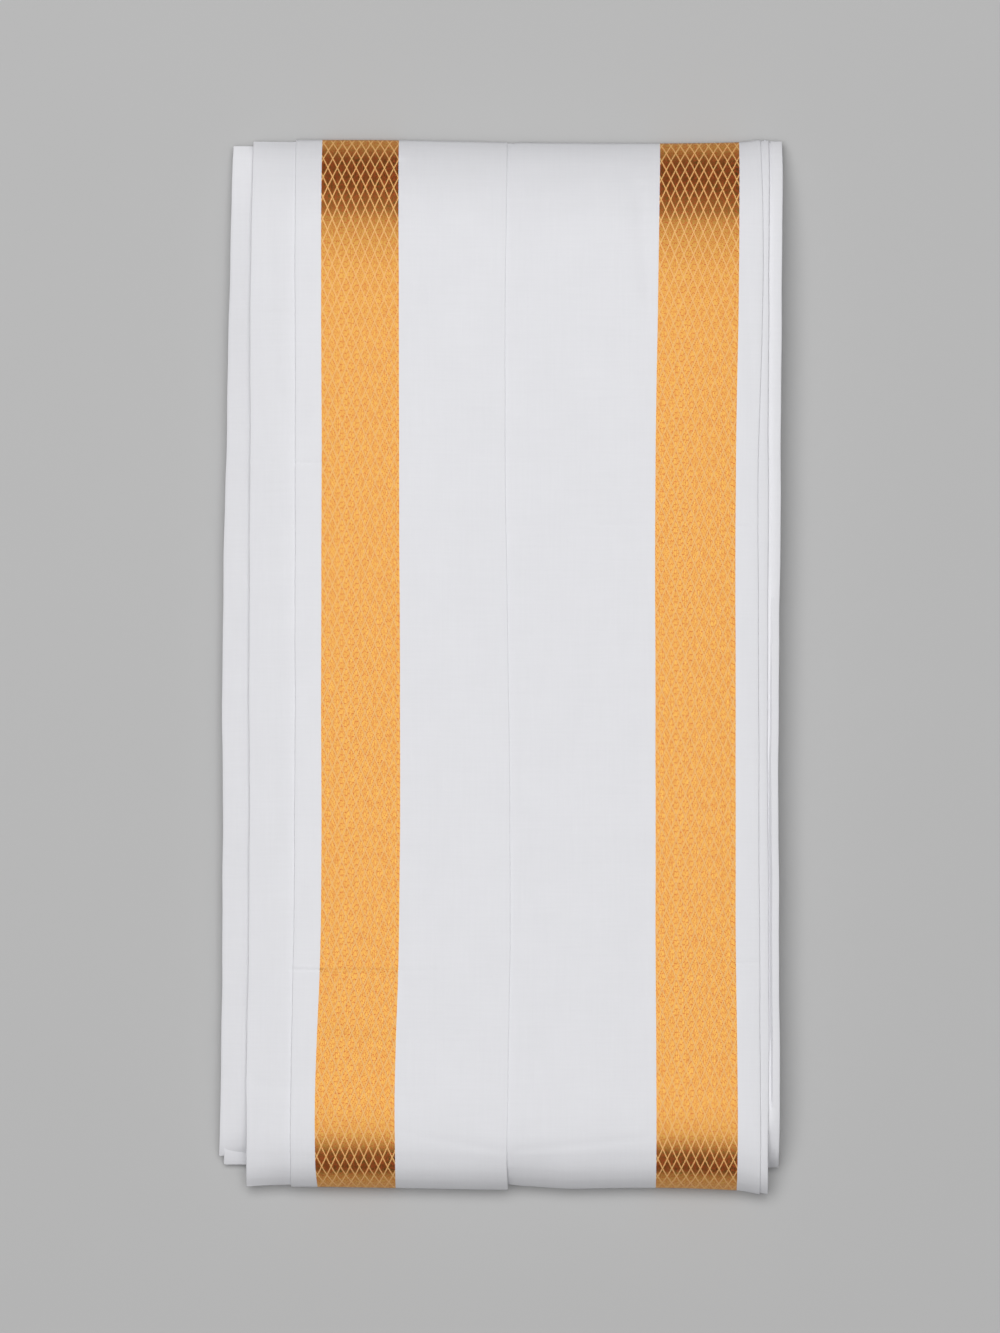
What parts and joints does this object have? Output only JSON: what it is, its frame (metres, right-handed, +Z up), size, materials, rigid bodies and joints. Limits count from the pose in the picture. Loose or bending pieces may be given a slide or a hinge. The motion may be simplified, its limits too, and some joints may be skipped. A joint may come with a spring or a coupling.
{
  "type": "folded angavastram",
  "caption": "White cotton shoulder cloth with woven gold zari border bands, folded to a flat oblong packet that lies on a surface.",
  "frame": {"origin": "middle of the packet's length and width, on the surface it rests on", "axes": "+Y along the packet from the nested end to the top fold, +X from the left flap to the right flap, +Z up"},
  "size_m": [0.2671, 0.4996, 0.0342],
  "materials": {
    "cotton": "crisp bleached plain-weave cotton, matt with a faint thread grain",
    "zari": "gold metallic weft with a diamond lattice, silky sheen"
  },
  "bodies": {
    "root": {"left_flap_fold": "cotton", "left_zari_border": "zari", "left_flap_field": "cotton", "right_flap_field": "cotton", "right_zari_border": "zari", "right_flap_fold": "cotton", "back_layer_left": "cotton", "back_layer_right": "cotton", "second_segment_left": "cotton", "second_segment_right": "cotton", "hidden_layers": "cotton", "cut_ends": "cotton"}
  },
  "joints": []
}
